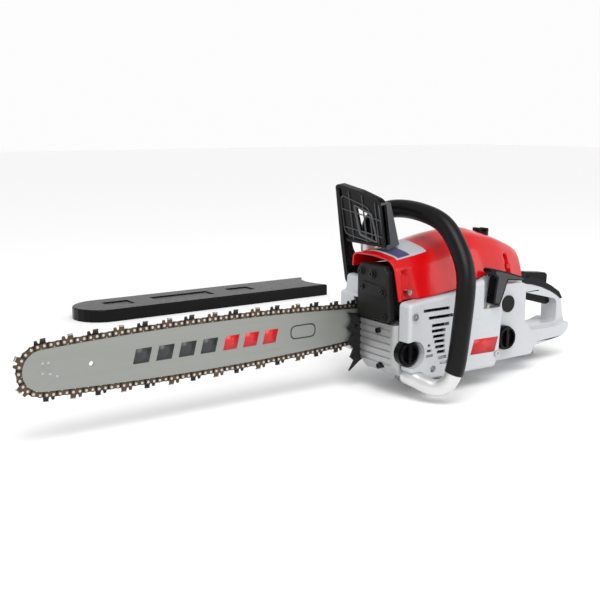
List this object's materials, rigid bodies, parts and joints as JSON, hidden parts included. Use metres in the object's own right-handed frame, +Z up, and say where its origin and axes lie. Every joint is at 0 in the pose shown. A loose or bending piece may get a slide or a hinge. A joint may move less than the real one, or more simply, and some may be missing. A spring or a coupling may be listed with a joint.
{
  "type": "petrol chainsaw",
  "caption": "Petrol chainsaw with long guide bar and chain, top cover, front and rear handles, hand guard, recoil starter and a loose bar scabbard.",
  "frame": {"origin": "on the floor straight below the crankshaft axis, at the foot of the crankcase", "axes": "+Z up, -X along the guide bar to its nose, -Y towards the starter side; the crankshaft lies along Y"},
  "size_m": [0.9225, 0.9182, 0.2947],
  "materials": {
    "red_plastic": "glossy moulded",
    "grey_plastic": "satin moulded",
    "black_plastic": "fine moulded grain",
    "rubber": "grained",
    "cast_alu": "cast",
    "tube_alu": "brushed",
    "heat_black": "heat-proof matt",
    "bar_steel": "satin lacquer",
    "steel": "machined",
    "chrome": "bright",
    "bronze": "bronzed",
    "dark_steel": "oiled",
    "filter_felt": "pleated",
    "porcelain": "glazed"
  },
  "bodies": {
    "chassis": {"crankcase_left": "cast_alu", "crankcase_right": "cast_alu", "body_screws": "dark_steel", "main_bearings": "steel", "cylinder": "cast_alu", "spark_plug": "porcelain", "plug_boot": "rubber", "muffler_body": "heat_black", "muffler_cover": "heat_black", "muffler_screws": "steel", "ignition_coil": "black_plastic", "intake_boot": "rubber", "carburettor": "cast_alu", "air_filter": "filter_felt", "starter_cover": "grey_plastic", "starter_screws": "chrome", "recoil_spring": "steel", "brake_band": "dark_steel", "oil_pump": "dark_steel", "clutch_cover": "grey_plastic", "bar_studs": "steel", "bar_nuts": "steel", "chain_catcher": "cast_alu", "bumper_spike": "dark_steel", "guard_pin": "steel", "front_handle": "tube_alu", "handle_sleeve": "rubber", "rear_handle": "grey_plastic", "trigger_pins": "steel", "av_mounts": "rubber", "top_cover": "red_plastic", "cover_bolts": "chrome", "guide_bar": "bar_steel", "chain_drive_links": "dark_steel", "chain_tie_straps": "bronze", "chain_cutters": "chrome"},
    "crankshaft": {"crankshaft": "steel", "flywheel": "cast_alu", "clutch_hub": "dark_steel"},
    "clutch_drum": {"clutch_drum": "steel"},
    "piston": {"piston": "cast_alu", "piston_rings": "dark_steel", "piston_pin": "steel", "connecting_rod": "steel", "crank_pin": "steel"},
    "nose_sprocket": {"nose_sprocket": "steel"},
    "recoil_pulley": {"recoil_pulley": "black_plastic"},
    "starter_grip": {"starter_grip": "black_plastic", "starter_rope": "filter_felt"},
    "hand_guard": {"hand_guard": "black_plastic"},
    "oil_cap": {"oil_cap": "black_plastic"},
    "fuel_cap": {"fuel_cap": "black_plastic"},
    "throttle_trigger": {"throttle_trigger": "black_plastic"},
    "throttle_lockout": {"throttle_lockout": "black_plastic"},
    "throttle_valve": {"throttle_valve": "bronze"},
    "choke_valve": {"choke_valve": "bronze"},
    "choke_knob": {"choke_knob": "black_plastic"},
    "cover_knob": {"cover_knob": "black_plastic"},
    "stop_switch": {"stop_switch": "black_plastic"},
    "scabbard": {"scabbard": "black_plastic"}
  },
  "joints": [
    {"name": "crank_spin", "type": "hinge", "parent": "chassis", "child": "crankshaft", "pos_m": [0, 0, 0.093], "axis": [0, 1, 0], "continuous": true},
    {"name": "drum_spin", "type": "hinge", "parent": "chassis", "child": "clutch_drum", "pos_m": [0, 0.04, 0.093], "axis": [0, 1, 0], "continuous": true},
    {"name": "nose_spin", "type": "hinge", "parent": "chassis", "child": "nose_sprocket", "pos_m": [-0.5663, 0.032, 0.093], "axis": [0, 1, 0], "continuous": true},
    {"name": "piston_stroke", "type": "slide", "parent": "chassis", "child": "piston", "axis": [0, 0, 1], "range_m": [-0.032, 0]},
    {"name": "grip_pull", "type": "slide", "parent": "chassis", "child": "starter_grip", "axis": [0.2504, 0, 0.9681], "range_m": [0, 0.09]},
    {"name": "pulley_spin", "type": "hinge", "parent": "chassis", "child": "recoil_pulley", "pos_m": [0, -0.07, 0.093], "axis": [0, 1, 0], "range_deg": [0, 190]},
    {"name": "guard_swing", "type": "hinge", "parent": "chassis", "child": "hand_guard", "pos_m": [-0.05, 0.084, 0.142], "axis": [0, -1, 0], "range_deg": [0, 8]},
    {"name": "oil_cap_lift", "type": "slide", "parent": "chassis", "child": "oil_cap", "axis": [0, -1, 0], "range_m": [0, 0.03]},
    {"name": "fuel_cap_lift", "type": "slide", "parent": "chassis", "child": "fuel_cap", "axis": [0, -1, 0], "range_m": [0, 0.03]},
    {"name": "trigger_pull", "type": "hinge", "parent": "chassis", "child": "throttle_trigger", "pos_m": [0.206, 0, 0.121], "axis": [0, -1, 0], "range_deg": [0, 5], "stiffness_Nm_per_rad": 0.8, "springref_deg": -17.19},
    {"name": "lockout_press", "type": "hinge", "parent": "chassis", "child": "throttle_lockout", "pos_m": [0.212, 0, 0.131], "axis": [0, 1, 0], "range_deg": [0, 3], "stiffness_Nm_per_rad": 0.8, "springref_deg": -17.19},
    {"name": "throttle_turn", "type": "hinge", "parent": "chassis", "child": "throttle_valve", "pos_m": [0.062, 0, 0.148], "axis": [0, 1, 0], "range_deg": [0, 70]},
    {"name": "choke_pull", "type": "slide", "parent": "chassis", "child": "choke_knob", "axis": [1, 0, 0], "range_m": [0, 0.01]},
    {"name": "choke_turn", "type": "hinge", "parent": "chassis", "child": "choke_valve", "pos_m": [0.08, 0, 0.148], "axis": [0, 1, 0], "range_deg": [0, 71]},
    {"name": "knob_turn", "type": "hinge", "parent": "chassis", "child": "cover_knob", "pos_m": [0.12, 0.001, 0.21], "axis": [0, 0, 1], "range_deg": [0, 90]},
    {"name": "switch_slide", "type": "slide", "parent": "chassis", "child": "stop_switch", "axis": [1, 0, 0], "range_m": [0, 0.005]},
    {"name": "scabbard_lift", "type": "slide", "parent": "chassis", "child": "scabbard", "axis": [0, 0, 1], "range_m": [0, 0.25]}
  ],
  "couplings": [
    {"joint": "nose_spin", "follows": "drum_spin", "ratio": 0.63636},
    {"joint": "pulley_spin", "follows": "grip_pull", "rad_per_m": 35.714},
    {"joint": "throttle_turn", "follows": "trigger_pull", "ratio": 14},
    {"joint": "choke_turn", "follows": "choke_pull", "rad_per_m": 122.17}
  ]
}
